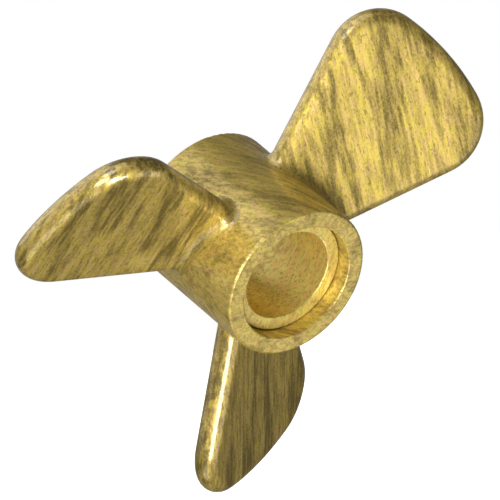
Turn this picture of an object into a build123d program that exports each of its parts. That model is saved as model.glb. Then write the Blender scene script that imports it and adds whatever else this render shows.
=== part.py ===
from build123d import *
import os
from math import cos, radians, sin, tan

# A three-blade gilt wooden propeller that turns on a brass bearing sleeve.
# Millimetres and degrees. The origin is the centre of the hub on the spin axis.
# The spin axis is Y, the front of the hub faces -Y and blade 1 points down.

# Hub barrel
HUB_DIAMETER = 8.0
HUB_LENGTH = 8.0
HUB_RIM_ROUND = 0.15
SOCKET_MOUTH_ROUND = 0.08

# Round socket in each end face of the hub
SOCKET_DIAMETER = 6.2
SOCKET_DEPTH = 0.8

# Bearing sleeve and its rear collar
SHAFT_BORE = 4.8
SLEEVE_WALL = 0.4
FLANGE_THICKNESS = 0.5
FLANGE_CLEARANCE = 0.05
RUNNING_CLEARANCE = 0.03
END_PLAY = 0.03
BRASS_EDGE_BREAK = 0.05

# Blades: flat paddles with fully rounded edges, whose tips are arcs about the spin axis
BLADE_COUNT = 3
PROPELLER_DIAMETER = 27.0
BLADE_ROOT_WIDTH = 5.25
BLADE_SIDE_FLARE = 19.7
BLADE_THICKNESS = 1.3
BLADE_CORNER_RADIUS = 2.65
BLADE_PITCH = 25.6
ROOT_FILLET = 0.55

# Tongue and slot that join each blade to the hub
TONGUE_WIDTH = 2.8
TONGUE_THICKNESS = 0.7
SLOT_FLOOR_WALL = 0.32
GLUE_LINE = 0.02

# Brass pin that locks each tongue, driven in from the rear face of the hub
PIN_DIAMETER = 0.5
PIN_PAST_TONGUE = 0.5

# Radii from the spin axis and places along it that follow from the sizes above
hub_radius = HUB_DIAMETER / 2
hub_end = HUB_LENGTH / 2
socket_radius = SOCKET_DIAMETER / 2
bore_radius = SHAFT_BORE / 2
sleeve_radius = bore_radius + SLEEVE_WALL
running_radius = sleeve_radius + RUNNING_CLEARANCE
flange_radius = socket_radius - FLANGE_CLEARANCE
sleeve_end = hub_end - SOCKET_DEPTH
flange_inner = sleeve_end - FLANGE_THICKNESS
shoulder = flange_inner - END_PLAY
half_thickness = BLADE_THICKNESS / 2
slot_floor = running_radius + SLOT_FLOOR_WALL
pin_circle = (socket_radius + hub_radius) / 2
pin_front = -TONGUE_THICKNESS / 2 / cos(radians(BLADE_PITCH)) - PIN_PAST_TONGUE


def turned(*profile):
    """Solid of revolution about the spin axis. The profile's points are (radius, place on Y)."""
    return revolve(make_face(Polyline(*profile, close=True)), Axis.Y)


def ring_edges(solid, radius, *places):
    """Circular edges of a turned solid at one radius and at the given places along the axis."""
    return [
        edge
        for edge in solid.edges().filter_by(GeomType.CIRCLE)
        if abs(edge.radius - radius) < 1e-6
        and any(abs(edge.arc_center.Y - place) < 1e-6 for place in places)
    ]


def in_blade_place(shape, number):
    """Moves a shape to a blade. Its own X is the chord, Y runs out to the tip, Z is the thickness."""
    pitch = radians(BLADE_PITCH)
    lowest = Plane(
        origin=(0, 0, 0),
        x_dir=(cos(pitch), sin(pitch), 0),
        z_dir=(-sin(pitch), cos(pitch), 0),
    )
    return Rotation(0, -360 / BLADE_COUNT * (number - 1), 0) * lowest.location * shape


def middle_sheet():
    """The blade's middle surface, drawn flat: half the thickness inside the finished outline."""
    flare = radians(BLADE_SIDE_FLARE)
    tip_radius = PROPELLER_DIAMETER / 2 - half_thickness
    hub_half_width = BLADE_ROOT_WIDTH / 2 - half_thickness / cos(flare)
    half_widths = [
        (hub_half_width + (length - hub_radius) * tan(flare), length)
        for length in (running_radius, PROPELLER_DIAMETER / 2)
    ]
    right_side = half_widths
    left_side = [(-width, length) for width, length in reversed(half_widths)]
    wedge = make_face(Polyline(*right_side, *left_side, close=True))
    sheet = wedge & Circle(tip_radius)
    corners = [corner for corner in sheet.vertices() if corner.Y > hub_radius]
    return fillet(corners, BLADE_CORNER_RADIUS - half_thickness)


def round_edge(edge):
    """Half-round moulding on one edge of the sheet, as thick as the blade."""
    start = edge @ 0
    along = edge % 0
    outward = along.cross(Vector(0, 0, 1))
    if (start + outward * 0.01).length < start.length:
        outward = -outward
    section_plane = Plane(origin=start, x_dir=outward, z_dir=along)
    disc = Circle(half_thickness)
    outer_half = disc & Pos(half_thickness, 0) * Rectangle(BLADE_THICKNESS, BLADE_THICKNESS)
    return sweep(section_plane * outer_half, path=edge)


def blade_body():
    """Paddle with rounded edges, from inside the hub out to the tip."""
    sheet = middle_sheet()
    body = extrude(sheet, half_thickness, both=True)
    for edge in sheet.edges():
        if edge.center().Y > running_radius + 0.01:
            body += round_edge(edge)
    return body


def tongue_box(clearance):
    """Tongue of a blade, or its slot when a clearance is given, from the slot's floor outwards."""
    width = TONGUE_WIDTH + 2 * clearance
    thickness = TONGUE_THICKNESS + 2 * clearance
    height = hub_radius - slot_floor + half_thickness
    return Pos(0, slot_floor + height / 2, 0) * Box(width, height, thickness)


def pin(number):
    """Locking pin of one blade, parallel to the spin axis, flush with the rear face of the hub."""
    length = hub_end - pin_front
    centre = Pos(0, pin_front + length / 2, -pin_circle)
    upright = centre * Rotation(90, 0, 0) * Cylinder(PIN_DIAMETER / 2, length)
    return Rotation(0, -360 / BLADE_COUNT * (number - 1), 0) * upright


def bar(radius, length):
    """Round bar on the spin axis."""
    return Rotation(90, 0, 0) * Cylinder(radius, length)


def on_hub_surface(edge):
    """Whether an edge runs over the hub's outer surface, as the line round a blade's root does."""
    places = [edge @ share for share in (0, 0.3, 0.7, 1)]
    return all(
        abs(Vector(place.X, 0, place.Z).length - hub_radius) < 1e-4
        and abs(place.Y) < hub_end - HUB_RIM_ROUND
        for place in places
    )


def blade(number):
    """Paddle with a filleted foot that sits on the hub, and a tongue that enters the hub's slot."""
    on_hub = in_blade_place(blade_body(), number) + bar(hub_radius, HUB_LENGTH)
    root_line = [edge for edge in on_hub.edges() if on_hub_surface(edge)]
    footed = fillet(root_line, ROOT_FILLET) - bar(hub_radius + GLUE_LINE, 2 * HUB_LENGTH)
    return footed + in_blade_place(tongue_box(0), number) - pin(number)


def hub_barrel():
    """Turned barrel with a socket in each end, a slot for each tongue and a hole for each pin."""
    barrel = turned(
        (running_radius, -shoulder),
        (socket_radius, -shoulder),
        (socket_radius, -hub_end),
        (hub_radius, -hub_end),
        (hub_radius, hub_end),
        (socket_radius, hub_end),
        (socket_radius, shoulder),
        (running_radius, shoulder),
    )
    barrel = fillet(ring_edges(barrel, hub_radius, -hub_end, hub_end), HUB_RIM_ROUND)
    barrel = fillet(ring_edges(barrel, socket_radius, -hub_end, hub_end), SOCKET_MOUTH_ROUND)
    for number in blade_numbers:
        barrel -= in_blade_place(tongue_box(GLUE_LINE), number)
        barrel -= pin(number)
    return barrel


def bearing_sleeve():
    """Brass sleeve with a front flange. Its bore takes the shaft."""
    sleeve = turned(
        (bore_radius, -sleeve_end),
        (flange_radius, -sleeve_end),
        (flange_radius, -flange_inner),
        (sleeve_radius, -flange_inner),
        (sleeve_radius, sleeve_end),
        (bore_radius, sleeve_end),
    )
    mouths = ring_edges(sleeve, bore_radius, -sleeve_end, sleeve_end)
    flange_rim = ring_edges(sleeve, flange_radius, -sleeve_end)
    return fillet(mouths + flange_rim, BRASS_EDGE_BREAK)


def rear_collar():
    """Brass ring pressed on the rear end of the sleeve, which keeps the hub on it."""
    collar = turned(
        (sleeve_radius, flange_inner),
        (flange_radius, flange_inner),
        (flange_radius, sleeve_end),
        (sleeve_radius, sleeve_end),
    )
    return fillet(ring_edges(collar, flange_radius, sleeve_end), BRASS_EDGE_BREAK)


blade_numbers = range(1, BLADE_COUNT + 1)
nodes = {
    "hub_barrel": hub_barrel(),
    "bearing_sleeve": bearing_sleeve(),
    "rear_collar": rear_collar(),
}
for number in blade_numbers:
    nodes[f"blade_{number}"] = blade(number)
    nodes[f"blade_pin_{number}"] = pin(number)

os.makedirs("parts", exist_ok=True)
for name, solid in nodes.items():
    export_step(solid, f"parts/{name}.step")
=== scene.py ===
# %% [markdown]
# # A gilt wooden propeller, finished in Blender
# The object is a small model propeller. Three flat wooden paddles are let into a thick turned hub,
# and the wood is lacquered with gold bronze, so the grain still shows through as darker streaks.
# The hub turns on a brass sleeve with a flange in front and a collar behind.
# The engineering model already holds every piece at its true size. This file only finishes it:
# it lights a small studio, grows the blades again with a finer surface, and gives each piece its finish.
# Lengths are in metres, so a millimetre is written as `1 * MM`.

from math import cos, radians, sin

import bmesh
import bpy
from mathutils import Matrix, Vector


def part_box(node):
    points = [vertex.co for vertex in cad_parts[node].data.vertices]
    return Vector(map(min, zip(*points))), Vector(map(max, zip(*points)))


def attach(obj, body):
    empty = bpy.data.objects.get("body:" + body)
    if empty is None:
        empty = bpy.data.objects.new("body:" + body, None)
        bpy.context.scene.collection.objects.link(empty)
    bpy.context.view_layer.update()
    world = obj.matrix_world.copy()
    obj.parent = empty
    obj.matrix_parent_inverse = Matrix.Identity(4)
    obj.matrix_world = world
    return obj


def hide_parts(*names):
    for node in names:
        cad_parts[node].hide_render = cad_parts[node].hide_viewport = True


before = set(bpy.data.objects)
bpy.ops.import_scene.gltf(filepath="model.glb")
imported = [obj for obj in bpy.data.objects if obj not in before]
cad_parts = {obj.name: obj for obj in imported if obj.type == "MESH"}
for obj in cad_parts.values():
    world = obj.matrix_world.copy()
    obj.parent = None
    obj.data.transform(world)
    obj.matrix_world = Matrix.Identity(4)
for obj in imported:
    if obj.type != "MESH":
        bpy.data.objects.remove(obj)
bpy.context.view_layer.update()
MM = 0.001

# %% [markdown]
# ## Reading sizes from the frame
# A finishing script should not repeat what the model can tell it. The hub and blade nodes give the
# hub's radius, the reach of a blade and the floor of its slot. The spin axis is Y, the front is -Y, and
# blade 1 points straight down.

# %% Sizes of the hub and the propeller
HUB_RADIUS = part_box("hub_barrel")[1].z
blade_low, blade_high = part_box("blade_1")
TIP_REACH = -blade_low.z
SLOT_FLOOR = -blade_high.z
for label, length in {"hub radius": HUB_RADIUS, "tip reach": TIP_REACH, "slot floor": SLOT_FLOOR}.items():
    print(f"{label} {length / MM:.2f} mm")

# %% [markdown]
# ## The camera
# A propeller is easiest to read from in front, a little above and to one side, where all three blades
# show different faces. A very long lens from far away keeps both ends of the hub the same size, as in a
# technical picture. A short lens would swell the near blade.
#
# `camera_axes` turns the two angles into three directions: right, up and back. The lamps use them too.

# %% Camera
CAMERA_AZIMUTH = -34.74
CAMERA_ELEVATION = 36.43
FRAME_WIDTH = 24.44 * MM
LENS = 1700.0
SENSOR = 36.0
AIM_RIGHT = 0.0
AIM_DOWN = 0.335 * MM


def camera_axes(azimuth, elevation):
    """Right, up and backward directions of a camera that looks at the origin from these angles."""
    a, e = radians(azimuth), radians(elevation)
    back = Vector((sin(a) * cos(e), -cos(a) * cos(e), sin(e)))
    right = Vector((cos(a), sin(a), 0))
    return right, back.cross(right), back


right, up, back = camera_axes(CAMERA_AZIMUTH, CAMERA_ELEVATION)
distance = FRAME_WIDTH * LENS / SENSOR
camera_data = bpy.data.cameras.new("camera")
camera_data.lens = LENS
camera_data.sensor_width = SENSOR
camera_data.clip_start = distance / 10
camera_data.clip_end = distance * 10
camera = bpy.data.objects.new("camera", camera_data)
camera.location = back * distance + right * AIM_RIGHT - up * AIM_DOWN
camera.rotation_mode = "QUATERNION"
camera.rotation_quaternion = back.to_track_quat("Z", "Y")
bpy.context.scene.collection.objects.link(camera)
bpy.context.scene.camera = camera
print(f"camera {distance:.2f} m away")

# %% [markdown]
# ## Formulas instead of wires
# The studio's background, the gilt finish and the blades' shape are all graphs of small nodes, and most
# of those nodes are plain maths. They could be wired one by one, but they are easier to read as formulas.
# `Number` wraps the output of a node. Its operators add the maths nodes for us, so `1 - mask * 0.5` works.

# %% Number
class Number:
    """A number that may differ from place to place: the output of a node, for use in formulas."""

    def __init__(self, bench, socket):
        self.bench = bench
        self.socket = socket

    def __add__(self, other):
        return self.bench.maths("ADD", self, other)

    __radd__ = __add__

    def __sub__(self, other):
        return self.bench.maths("SUBTRACT", self, other)

    def __rsub__(self, other):
        return self.bench.maths("SUBTRACT", other, self)

    def __mul__(self, other):
        return self.bench.maths("MULTIPLY", self, other)

    __rmul__ = __mul__

    def __truediv__(self, other):
        return self.bench.maths("DIVIDE", self, other)

    def __neg__(self):
        return self.bench.maths("MULTIPLY", self, -1)


# %% [markdown]
# `Bench` holds one node tree, emptied of what Blender puts there by itself. Its method `node` adds any
# node: settings first, because they can change which sockets a node has, then a value or a link for each
# socket. The other methods are short names for the nodes that come up again and again.

# %% Bench
class Bench:
    """One node tree, and the ways to add to it."""

    def __init__(self, tree):
        tree.nodes.clear()
        self.tree = tree

    def node(self, kind, settings=None, inputs=None):
        """Adds a node and gives its named or numbered sockets their values or links."""
        made = self.tree.nodes.new(kind)
        for name, value in (settings or {}).items():
            setattr(made, name, value)
        for key, value in (inputs or {}).items():
            socket = made.inputs[key]
            source = value.socket if isinstance(value, Number) else value
            if isinstance(source, bpy.types.NodeSocket):
                self.tree.links.new(source, socket)
            else:
                socket.default_value = source
        return made

    def number(self, kind, settings=None, inputs=None, output=0):
        """Adds a node and returns one of its outputs as a Number."""
        return Number(self, self.node(kind, settings, inputs).outputs[output])

    def maths(self, operation, *values):
        """One Math node on numbers or links."""
        return self.number("ShaderNodeMath", {"operation": operation}, dict(enumerate(values)))

    def share(self, value, start, length):
        """0 before start, 1 after start + length, and a straight ramp between."""
        ranges = {"Value": value, "From Min": float(start), "From Max": float(start + length)}
        return self.number("ShaderNodeMapRange", None, ranges)

    def soft_step(self, value, low, high):
        """0 below low, 1 above high, and a soft passage between."""
        ranges = {"Value": value, "From Min": low, "From Max": high}
        return self.number("ShaderNodeMapRange", {"interpolation_type": "SMOOTHSTEP"}, ranges)

    def point(self, x, y, z):
        """A vector from three numbers."""
        return self.node("ShaderNodeCombineXYZ", None, {0: x, 1: y, 2: z}).outputs[0]

    def vector_maths(self, operation, *values):
        """One Vector Math node on vectors."""
        return self.node("ShaderNodeVectorMath", {"operation": operation}, dict(enumerate(values))).outputs[0]

    def mix(self, data_type, amount, first, second):
        """A Mix node keeps a pair of sockets for each type of value, so they are found by their place."""
        first_socket, output = {"VECTOR": (4, 1), "RGBA": (6, 2)}[data_type]
        sockets = {0: amount, first_socket: first, first_socket + 1: second}
        return self.node("ShaderNodeMix", {"data_type": data_type}, sockets).outputs[output]


# %% [markdown]
# ## A white studio
# A product photographer would stand the propeller on a thin stem above a sheet of white paper and light
# the paper until it burns out. Here the paper shines on its own and only the camera sees it, so it
# neither lights the gold from below nor catches its shadow.

# %% The paper floor
FLOOR_HEIGHT = -60 * MM
FLOOR_SIZE = 120 * MM
WHITE = (1, 1, 1, 1)


def new_object(name, data):
    """Links a mesh or a lamp into the scene as an object at the origin."""
    made = bpy.data.objects.new(name, data)
    bpy.context.scene.collection.objects.link(made)
    return made


paper = bpy.data.materials.new("white_paper")
paper.use_nodes = True
bench = Bench(paper.node_tree)
glowing = bench.node("ShaderNodeBsdfPrincipled", None, {"Emission Color": WHITE, "Emission Strength": 1.0})
bench.node("ShaderNodeOutputMaterial", None, {"Surface": glowing.outputs[0]})

sheet = bmesh.new()
bmesh.ops.create_grid(sheet, x_segments=1, y_segments=1, size=FLOOR_SIZE / 2)
bmesh.ops.translate(sheet, verts=sheet.verts, vec=(0, 0, FLOOR_HEIGHT))
floor_mesh = bpy.data.meshes.new("floor")
sheet.to_mesh(floor_mesh)
sheet.free()
floor_mesh.materials.append(paper)
floor = new_object("floor", floor_mesh)
for ray in ("diffuse", "glossy", "transmission", "volume_scatter", "shadow"):
    setattr(floor, "visible_" + ray, False)
print(f"floor {-FLOOR_HEIGHT / MM:.0f} mm below the spin axis")

# %% [markdown]
# The world behind the paper is white for the camera but nearly dark for the object: `seen` is 1 for what
# the camera looks at directly and 0 for the light that falls on the gold. The background therefore stays
# white from every side while the lamps alone shape the gold. The standard view transform keeps a gold
# tone as it is mixed, without a film curve on top.

# %% The surroundings
FILL = 0.06

bpy.context.scene.view_settings.view_transform = "Standard"
world = bpy.data.worlds.new("studio")
bpy.context.scene.world = world
world.use_nodes = True
bench = Bench(world.node_tree)
seen = bench.number("ShaderNodeLightPath", output="Is Camera Ray")
glow = {"Color": WHITE, "Strength": seen + FILL * (1 - seen)}
surroundings = bench.node("ShaderNodeBackground", None, glow)
bench.node("ShaderNodeOutputWorld", None, {"Surface": surroundings.outputs[0]})
print(f"fill light {FILL} of the white background")

# %% [markdown]
# ## Soft lamps
# Each lamp is a sun whose disc is widened to many degrees, which is what a softbox looks like from a small
# object. The directions are written as a photographer would say them, from the camera: right, up and
# toward the camera. The lamps in front are the smallest and brightest, so the lacquer shows them as crisp
# highlights: the low one lays a white line along the round edges. The broad ones at the sides and behind
# are weak, and give the gold something to mirror.

# %% Lamps
# name: (direction, disc in degrees, strength)
LAMPS = {
    "key": ((0.15, -0.48, 0.87), 18, 0.75),
    "key_low": ((0.30, -0.65, 0.71), 30, 1.45),
    "key_left": ((-0.37, -0.25, 0.89), 34, 1.30),
    "front_high": ((-0.34, 0.42, 0.84), 30, 0.60),
    "below": ((-0.19, -0.98, 0.10), 40, 0.30),
    "left": ((-0.98, 0.20, 0.04), 60, 0.30),
    "top": ((-0.32, 0.84, 0.42), 60, 0.50),
    "top_left": ((-0.62, 0.75, 0.20), 60, 0.20),
    "behind": ((-0.12, 0.20, -0.97), 80, 0.25),
    "behind_left": ((-0.70, 0.55, -0.45), 60, 0.45),
    "right": ((0.85, -0.50, 0.15), 40, 0.28),
}
for name, ((to_right, to_up, to_camera), disc, power) in LAMPS.items():
    sun = bpy.data.lights.new(name, "SUN")
    sun.angle = radians(disc)
    sun.energy = power
    lamp = new_object(name, sun)
    direction = right * to_right + up * to_up + back * to_camera
    lamp.rotation_mode = "QUATERNION"
    lamp.rotation_quaternion = direction.to_track_quat("Z", "Y")
print(len(LAMPS), "lamps")

# %% [markdown]
# ## A blade that follows a rule
# On the real propeller a blade is cut from flat stock, its edges are sanded fully round, and its foot
# flows into the hub in a small fillet. Modelling that by hand needs careful bevels, and every change of
# size means doing them again. But each part of the skin is a line or an arc, so a formula can place every
# point of a grid, and Geometry Nodes can work the formula out.
#
# The blade is built lying in its own axes: X is the chord, Y runs out along the blade from the
# spin axis, and Z is the thickness.

# %% The blade's sizes
PITCH = radians(25.6)
BLADE_SIZES = {
    "Hub radius": HUB_RADIUS,
    "Tip reach": TIP_REACH,
    "Slot floor": SLOT_FLOOR,
    "Half thickness": 0.65 * MM,
    "Root half width": 2.625 * MM,
    "Corner radius": 2.65 * MM,
    "Root fillet": 0.55 * MM,
    "Tongue half width": 1.4 * MM,
    "Tongue half thickness": 0.35 * MM,
    "Flare": radians(19.7),
    "Pitch": PITCH,
    "Place round the hub": 0.0,
}

blade_tree = bpy.data.node_groups.new("paddle_blade", "GeometryNodeTree")
blade_tree.interface.new_socket("Geometry", in_out="OUTPUT", socket_type="NodeSocketGeometry")
for label in BLADE_SIZES:
    blade_tree.interface.new_socket(label, in_out="INPUT", socket_type="NodeSocketFloat")
blade_tree.interface.new_socket("Finish", in_out="INPUT", socket_type="NodeSocketMaterial")

bench = Bench(blade_tree)
group_input = bench.node("NodeGroupInput")
size = {label: Number(bench, group_input.outputs[label]) for label in BLADE_SIZES}
print(len(size), "sizes go into the blade tree")

# %% [markdown]
# ## Where a grid point sits
# The columns of the grid walk *round* the blade: over the front face, round the right edge, back over
# the rear face, and round the left edge. `lean` says where between the left and the right side a point is
# (-1 to 1), and `turn` is its angle round the edge: 90 degrees on the front face, -90 on the rear.
# The rows climb *along* the blade: tongue, fillet, straight side, corner, tip.

# %% Columns and rows
FACE_COLUMNS, EDGE_COLUMNS = 24, 18
TONGUE_ROWS, FILLET_ROWS, SIDE_ROWS, CORNER_ROWS, TIP_ROWS = 3, 10, 26, 18, 22
COLUMNS = 2 * (FACE_COLUMNS + EDGE_COLUMNS)
SIDE_START = TONGUE_ROWS + FILLET_ROWS
CORNER_START = SIDE_START + SIDE_ROWS
TIP_START = CORNER_START + CORNER_ROWS
ROWS = TIP_START + TIP_ROWS

grid = bench.node("GeometryNodeMeshGrid", None, {"Vertices X": COLUMNS + 1, "Vertices Y": ROWS + 1})
index = bench.number("GeometryNodeInputIndex")
column = bench.maths("FLOOR", (index + 0.5) / (ROWS + 1))
row = index - column * (ROWS + 1)

rear_start = FACE_COLUMNS + EDGE_COLUMNS
left_edge_start = rear_start + FACE_COLUMNS
over_front = bench.share(column, 0, FACE_COLUMNS)
round_right = bench.share(column, FACE_COLUMNS, EDGE_COLUMNS)
over_rear = bench.share(column, rear_start, FACE_COLUMNS)
round_left = bench.share(column, left_edge_start, EDGE_COLUMNS)
lean = 2 * over_front - 2 * over_rear - 1
turn = (round_left - round_right + 0.5) * radians(180)
toward_edge = bench.maths("COSINE", turn)
toward_face = bench.maths("SINE", turn)
print(f"blade grid {COLUMNS} x {ROWS}")

# %% [markdown]
# ## The middle outline
# Halfway through the thickness the outline is a straight side that flares outward, a corner
# arc, and a tip arc about the spin axis. The corner arc touches both, which puts its centre where a
# line parallel to the side crosses a circle parallel to the tip.

# %% Middle outline
hub, tip = size["Hub radius"], size["Tip reach"]
half, fillet = size["Half thickness"], size["Root fillet"]
side_cos = bench.maths("COSINE", size["Flare"])
side_sin = bench.maths("SINE", size["Flare"])
slope = side_sin / side_cos

corner = size["Corner radius"] - half
tip_arc = tip - half
root_width = size["Root half width"] - half / side_cos - hub * slope
inner = tip_arc - corner
offset = root_width - corner / side_cos
steepness = 1 + slope * slope
corner_y = (bench.maths("SQRT", inner * inner * steepness - offset * offset) - offset * slope) / steepness
corner_x = offset + slope * corner_y
tip_start = bench.maths("ARCTAN2", corner_y, corner_x)
side_end = corner_y - corner * side_sin

# %% [markdown]
# ## The fillet: a ball that rolls in the corner
# The fillet's surface is the path of a small ball that touches both the blade and the round hub.
# Its centre is one ball radius away from each, and that condition is a quadratic equation for
# the height of the centre. The skin then runs from the point that touches the hub to the point that
# touches the blade.

# %% Fillet
pitch_cos = bench.maths("COSINE", size["Pitch"])
pitch_sin = bench.maths("SINE", size["Pitch"])
gap = half + fillet
drop = gap * toward_edge * side_sin
reach = root_width + slope * drop + gap * toward_edge * side_cos
fixed = lean * reach * pitch_cos - gap * toward_face * pitch_sin
rising = lean * slope * pitch_cos
orbit = hub + fillet
bend = 1 + rising * rising
ball_y = (bench.maths("SQRT", orbit * orbit * bend - fixed * fixed) - fixed * rising) / bend
ball = bench.point(lean * (reach + slope * ball_y), ball_y, gap * toward_face)

across = fixed + rising * ball_y
hub_way = bench.point(across * pitch_cos / orbit, ball_y / orbit, -(across * pitch_sin) / orbit)
blade_way = bench.point(lean * toward_edge * side_cos, -(toward_edge * side_sin), toward_face)
climb = bench.share(row, TONGUE_ROWS, FILLET_ROWS)
way = bench.vector_maths("NORMALIZE", bench.mix("VECTOR", climb, hub_way, blade_way))
to_skin = bench.node("ShaderNodeVectorMath", {"operation": "SCALE"}, {0: way, "Scale": fillet})
fillet_point = bench.vector_maths("SUBTRACT", ball, to_skin.outputs[0])

# %% [markdown]
# ## The paddle above the fillet
# Each row moves on along the middle outline, and the half-round edge is laid round it. The two arcs
# are written so that each adds nothing outside its own rows, which lets one formula serve all rows.

# %% Paddle
side_y = ball_y + drop + (side_end - ball_y - drop) * bench.share(row, SIDE_START, SIDE_ROWS)
corner_angle = (tip_start + size["Flare"]) * bench.share(row, CORNER_START, CORNER_ROWS) - size["Flare"]
tip_angle = tip_start + (radians(90) - tip_start) * bench.share(row, TIP_START, TIP_ROWS)
facing = corner_angle + tip_angle - tip_start

outline_x = root_width + slope * side_y
outline_x = outline_x + corner * (bench.maths("COSINE", corner_angle) - side_cos)
outline_x = outline_x + tip_arc * (bench.maths("COSINE", tip_angle) - bench.maths("COSINE", tip_start))
outline_y = side_y + corner * (bench.maths("SINE", corner_angle) + side_sin)
outline_y = outline_y + tip_arc * (bench.maths("SINE", tip_angle) - bench.maths("SINE", tip_start))
paddle_point = bench.point(
    lean * (outline_x + half * toward_edge * bench.maths("COSINE", facing)),
    outline_y + half * toward_edge * bench.maths("SINE", facing),
    half * toward_face,
)

# %% [markdown]
# ## The tongue
# Below the foot a short tongue enters the hub's slot. Its first row is a single point in the middle of
# the slot's floor, the second the rectangle on the floor, and the third the same rectangle where it
# comes through the hub's surface.

# %% Tongue
open_out = bench.share(row, 0, 1)
tongue_x = lean * open_out * size["Tongue half width"]
tongue_z = toward_face * open_out * size["Tongue half thickness"]
tongue_across = tongue_x * pitch_cos - tongue_z * pitch_sin
surface_y = bench.maths("SQRT", hub * hub - tongue_across * tongue_across)
rise = bench.share(row, 1, 1)
tongue_point = bench.point(tongue_x, size["Slot floor"] + (surface_y - size["Slot floor"]) * rise, tongue_z)


# %% [markdown]
# ## One skin from three formulas
# A Switch chooses the formula by row, and Set Position moves the grid there. Two numbers are kept on the
# points for the finish: `edge`, how round the surface is there, and `foot`, how near the hub. Merging by
# distance closes the seam, the pole at the tip and the pole under the tongue.

# %% Skin
MERGE_DISTANCE = 0.0001 * MM


def choose_above(row_number, below, above):
    """One vector up to a row, another above it."""
    is_above = bench.node("FunctionNodeCompare", {"operation": "GREATER_THAN"}, {"A": row, "B": row_number})
    values = {"Switch": is_above.outputs[0], "False": below, "True": above}
    return bench.node("GeometryNodeSwitch", {"input_type": "VECTOR"}, values).outputs[0]


def remember(geometry, name, value):
    """Keeps a number on every point under a name that a material can read."""
    values = {"Geometry": geometry, "Name": name, "Value": value}
    settings = {"data_type": "FLOAT", "domain": "POINT"}
    return bench.node("GeometryNodeStoreNamedAttribute", settings, values).outputs[0]


lower = choose_above(TONGUE_ROWS - 0.5, tongue_point, fillet_point)
skin = choose_above(SIDE_START + 0.5, lower, paddle_point)
shaped = bench.node("GeometryNodeSetPosition", None, {"Geometry": grid.outputs["Mesh"], "Position": skin})
marked = remember(remember(shaped.outputs[0], "edge", toward_edge), "foot", 1 - climb)
closed = bench.node("GeometryNodeMergeByDistance", None, {"Geometry": marked, "Distance": MERGE_DISTANCE})

# %% [markdown]
# ## Standing the blade on the hub
# The blade is turned to point down with its pitch, then round the spin axis to its place. Shading is
# smooth except over corners sharper than 40 degrees, which are only found on the tongue. The tree ends by
# making everything real and giving it its finish.

# %% Placing and finishing the tree
CRISP_ANGLE = radians(40)

upright = bench.point(radians(-90), 0.0, size["Pitch"])
stood_up = bench.node("GeometryNodeTransform", None, {"Geometry": closed.outputs[0], "Rotation": upright})
swing = bench.point(0.0, -size["Place round the hub"], 0.0)
placed = bench.node("GeometryNodeTransform", None, {"Geometry": stood_up.outputs[0], "Rotation": swing})

smooth = bench.node("GeometryNodeSetShadeSmooth", {"domain": "FACE"}, {"Geometry": placed.outputs[0]})
fold = bench.number("GeometryNodeInputMeshEdgeAngle")
is_crisp = bench.node("FunctionNodeCompare", {"operation": "GREATER_THAN"}, {"A": fold, "B": CRISP_ANGLE})
crisp = bench.node(
    "GeometryNodeSetShadeSmooth",
    {"domain": "EDGE"},
    {"Geometry": smooth.outputs[0], "Selection": is_crisp.outputs[0], "Shade Smooth": False},
)
real = bench.node("GeometryNodeRealizeInstances", None, {"Geometry": crisp.outputs[0]})
dressing = {"Geometry": real.outputs[0], "Material": group_input.outputs["Finish"]}
dressed = bench.node("GeometryNodeSetMaterial", None, dressing)
bench.node("NodeGroupOutput", None, {"Geometry": dressed.outputs[0]})
print(len(blade_tree.nodes), "nodes in the blade tree")

# %% [markdown]
# ## Gilt wood
# Gold bronze lacquer is metal powder in a clear varnish. Wood takes it unevenly: broad olive bands
# where the grain drinks it in, fine fibres, and pores that stay dark. The lacquer itself dries to a
# gloss, so the metal layer is dull and a clear coat on top gives the white highlights.
#
# All patterns are noise that is stretched along the grain. The Mapping node first turns the piece's own
# coordinates until the grain lies along Z, and counts in millimetres, so the sizes below are sizes on
# the real wood. A soft step then turns the noise into marks: nothing below one value, full above another.
# Both helpers work on any bench, because every piece gets its own material.

# %% Colours and stretched noise
GOLD = (0.93, 0.705, 0.12, 1)
TAN = (0.92, 0.64, 0.19, 1)
OLIVE = (0.20, 0.14, 0.022, 1)
PORE = (0.11, 0.072, 0.015, 1)

# name: (length kept along the grain, grains to a millimetre, detail, distortion)
NOISES = {
    "band": (0.16, 1.0, 2.0, 0.4),
    "fibre": (0.12, 5.0, 4.0, 0.0),
    "pore": (0.42, 9.0, 2.0, 0.0),
    "tint": (0.40, 4.0, 3.0, 0.0),
    "powder": (0.70, 12.0, 2.0, 0.0),
    "worn": (0.60, 0.5, 2.0, 0.0),
}
# name: where the marks begin, and where they are full
MARKS = {"band": (0.45, 0.62), "fibre": (0.38, 0.62), "pore": (0.54, 0.66), "tint": (0.38, 0.62)}


def along_grain(bench, grain, seed):
    """The piece's own coordinates in millimetres, turned so that this direction becomes Z."""
    turn = Vector(grain).rotation_difference(Vector((0, 0, 1))).to_euler()
    here = bench.node("ShaderNodeTexCoord").outputs["Object"]
    mapping = {
        "Vector": here,
        "Location": (seed, 2 * seed, 3 * seed),
        "Rotation": turn,
        "Scale": (1 / MM, 1 / MM, 1 / MM),
    }
    return bench.node("ShaderNodeMapping", None, mapping).outputs[0]


def noise(bench, place, name):
    """One noise of the table, drawn out along Z by shortening Z."""
    kept, per_mm, detail, distortion = NOISES[name]
    drawn = bench.vector_maths("MULTIPLY", place, (1, 1, kept))
    values = {"Vector": drawn, "Scale": per_mm, "Detail": detail, "Distortion": distortion}
    return bench.number("ShaderNodeTexNoise", None, values)


print(len(NOISES), "patterns,", len(MARKS), "of them as marks")


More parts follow.
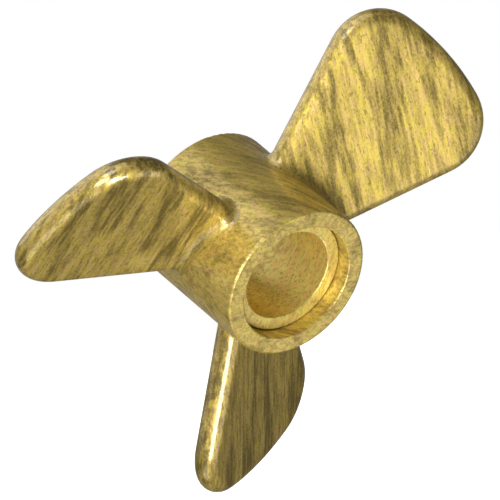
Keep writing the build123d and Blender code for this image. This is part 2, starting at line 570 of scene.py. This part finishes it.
# %% [markdown]
# ## Mixing the finish
# The amount of olive is the grain's stain plus the tone. The tone darkens a whole piece as painted shade
# when above 0 and lightens it as painted light when below 0. The amount also makes the surface duller and
# less metallic, since less powder lies there. The coat is thicker on the round edges, where the brush
# leaves it, thinner over pores, and rubbed away in patches. In the fillet at the foot the lacquer pools and
# hides half of the grain. Pieces without the `edge` and `foot` numbers read them as 0. The weights in the
# formulas were found by trying: change one, render, and look again.

# %% The gilt material
RELIEF_DEPTH = 0.012 * MM


def gilt(name, grain, seed, bands, gold=GOLD, fibres=0.42, pores=0.45, painted_light_and_shade=0.0, gloss=0.8):
    """Gold bronze lacquer over a surface whose grain runs along this direction. A tone above 0 darkens the
    whole finish as painted shade, and one below 0 lightens it as painted light.
    """
    material = bpy.data.materials.new(name)
    material.use_nodes = True
    bench = Bench(material.node_tree)
    place = along_grain(bench, grain, seed)
    edge = bench.number("ShaderNodeAttribute", {"attribute_name": "edge"}, output="Fac")
    foot = bench.number("ShaderNodeAttribute", {"attribute_name": "foot"}, output="Fac")

    mark = {name: bench.soft_step(noise(bench, place, name), *MARKS[name]) for name in MARKS}
    powder = noise(bench, place, "powder") - 0.5
    worn = noise(bench, place, "worn") - 0.5

    grain_stain = mark["band"] * bands + mark["fibre"] * fibres
    # Beside the grain's stain, the tone darkens the whole piece as painted shade above 0 and lightens it as
    # painted light below 0.
    stain_light_and_shade = grain_stain * (1 - foot * 0.5) + powder * 0.9 + painted_light_and_shade
    metal = bench.mix("RGBA", mark["tint"], gold, TAN)
    stained_and_shaded = bench.mix("RGBA", stain_light_and_shade, metal, OLIVE)
    colour = bench.mix("RGBA", mark["pore"] * pores, stained_and_shaded, PORE)
    height = powder * 0.25 - mark["fibre"] * 0.45 - mark["pore"] * 0.7
    relief = {"Height": height, "Strength": 0.3, "Distance": RELIEF_DEPTH}
    bump = bench.node("ShaderNodeBump", None, relief)
    surface = {
        "Base Color": colour,
        "Metallic": 0.55 - stain_light_and_shade * 0.15,
        "Roughness": 0.36 + stain_light_and_shade * 0.14 + powder * 0.2 + worn * 0.12,
        "Coat Weight": gloss + edge * 0.3 - mark["pore"] * 0.3 - worn * 0.4,
        "Coat Roughness": 0.08,
        "Coat IOR": 1.8,
        "Normal": bump.outputs[0],
    }
    shader = bench.node("ShaderNodeBsdfPrincipled", None, surface)
    bench.node("ShaderNodeOutputMaterial", None, {"Surface": shader.outputs[0]})
    return material


# %% [markdown]
# ## Which way the grain runs in a blade
# A blade is sawn from the sheet where the wood allows, so its grain crosses it at its own angle. The
# angle is measured in the blade's own face, from its length toward its chord, and turned to the
# blade's place on the hub. Each blade's tone darkens its whole finish as painted shade, and the lowest
# blade is darkened most.

# %% Grain directions
# number: (grain angle in degrees, depth of the bands, tone of painted shade)
BLADE_WOOD = {1: (0.0, 0.40, 0.29), 2: (61.0, 0.44, 0.07), 3: (-72.0, 0.60, 0.10)}


def grain_on_blade(place, angle):
    """Direction of the grain at rest on a blade at this place round the hub, both in radians."""
    chord = Vector((cos(PITCH), sin(PITCH), 0))
    length = Vector((0, 0, -1))
    return Matrix.Rotation(-place, 3, "Y") @ (chord * sin(angle) + length * cos(angle))


for number, (angle, bands, painted_light_and_shade) in BLADE_WOOD.items():
    grain = grain_on_blade(radians(120 * (number - 1)), radians(angle))
    print(f"blade {number} grain along", [round(part, 2) for part in grain])

# %% [markdown]
# ## Growing the blades
# The tree's sizes are set on the modifier by each socket's identifier, before anything is evaluated. The
# only input that is not a size is the finish. The evaluated shape is then copied to a plain mesh, so the
# finished piece carries no modifier. It rides on the propeller's body and stands in for the engineering
# blade of the same number.

# %% Three blades
def grown_mesh(name, tree, sizes, finish):
    """Runs a Geometry Nodes tree with these sizes and returns the result as a plain mesh."""
    host = new_object(name + "_host", bpy.data.meshes.new(name + "_host"))
    modifier = host.modifiers.new("grow", "NODES")
    modifier.node_group = tree
    for item in tree.interface.items_tree:
        if item.in_out == "INPUT":
            modifier[item.identifier] = sizes[item.name] if item.name in sizes else finish
    bpy.context.view_layer.update()
    graph = bpy.context.evaluated_depsgraph_get()
    mesh = bpy.data.meshes.new_from_object(host.evaluated_get(graph))
    mesh.name = name
    bpy.data.objects.remove(host)
    return mesh


for number, (angle, bands, painted_light_and_shade) in BLADE_WOOD.items():
    name = f"gilt_blade_{number}"
    place = radians(120 * (number - 1))
    grain = grain_on_blade(place, radians(angle))
    finish = gilt(name + "_wood", grain, seed=11.0 * number, bands=bands, painted_light_and_shade=painted_light_and_shade)
    sizes = dict(BLADE_SIZES, **{"Place round the hub": place})
    blade = new_object(name, grown_mesh(name, blade_tree, sizes, finish))
    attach(blade, "propeller")
    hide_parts(f"blade_{number}")
    print(name, len(blade.data.vertices), "points,", len(blade.data.polygons), "faces")

# %% [markdown]
# ## Hub and brass
# The hub, the sleeve, the collar and the pins keep their engineering shapes, which are already exact
# turned forms. The hub is turned from a block whose grain slants to the spin axis, so the streaks run
# aslant over its side and show as short flecks on its ends. The brass was lacquered in the same bath and
# has gone streaky, and is less glossy. Its tone of -0.35 lightens it as painted light, which brightens the
# bore it lines, and the pins share that tone. The pins were filed flush afterwards and are cleaner.

# %% Finishes of the hub and the brass pieces
HUB_GRAIN = (0.62, -0.77, -0.12)
BRASS_GRAIN = (0.35, -0.2, 0.9)
PIN_GRAIN = (1.0, 0.0, 0.3)
HUB_GOLD = (0.93, 0.735, 0.15, 1)
BRASS = (0.93, 0.79, 0.20, 1)

hub_look = {"gold": HUB_GOLD, "bands": 0.35, "fibres": 0.38, "pores": 0.32, "gloss": 0.35}
hub_wood = gilt("gilt_hub_wood", HUB_GRAIN, seed=5.0, **hub_look)
# The brass's tone below 0 is painted light that brightens the bore.
brass_look = {"gold": BRASS, "bands": 0.15, "fibres": 0.5, "pores": 0.4, "painted_light_and_shade": -0.35, "gloss": 0.2}
bearing_brass = gilt("bearing_brass", BRASS_GRAIN, seed=8.0, **brass_look)
filed_look = {"gold": BRASS, "bands": 0.05, "fibres": 0.15, "pores": 0.1, "painted_light_and_shade": -0.35, "gloss": 0.3}
pin_brass = gilt("pin_brass", PIN_GRAIN, seed=3.0, **filed_look)

finishes = {"hub_barrel": hub_wood, "bearing_sleeve": bearing_brass, "rear_collar": bearing_brass}
finishes.update({f"blade_pin_{number}": pin_brass for number in BLADE_WOOD})
for name, finish in finishes.items():
    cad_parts[name].material_slots[0].material = finish
    print(name, "gets", finish.name)
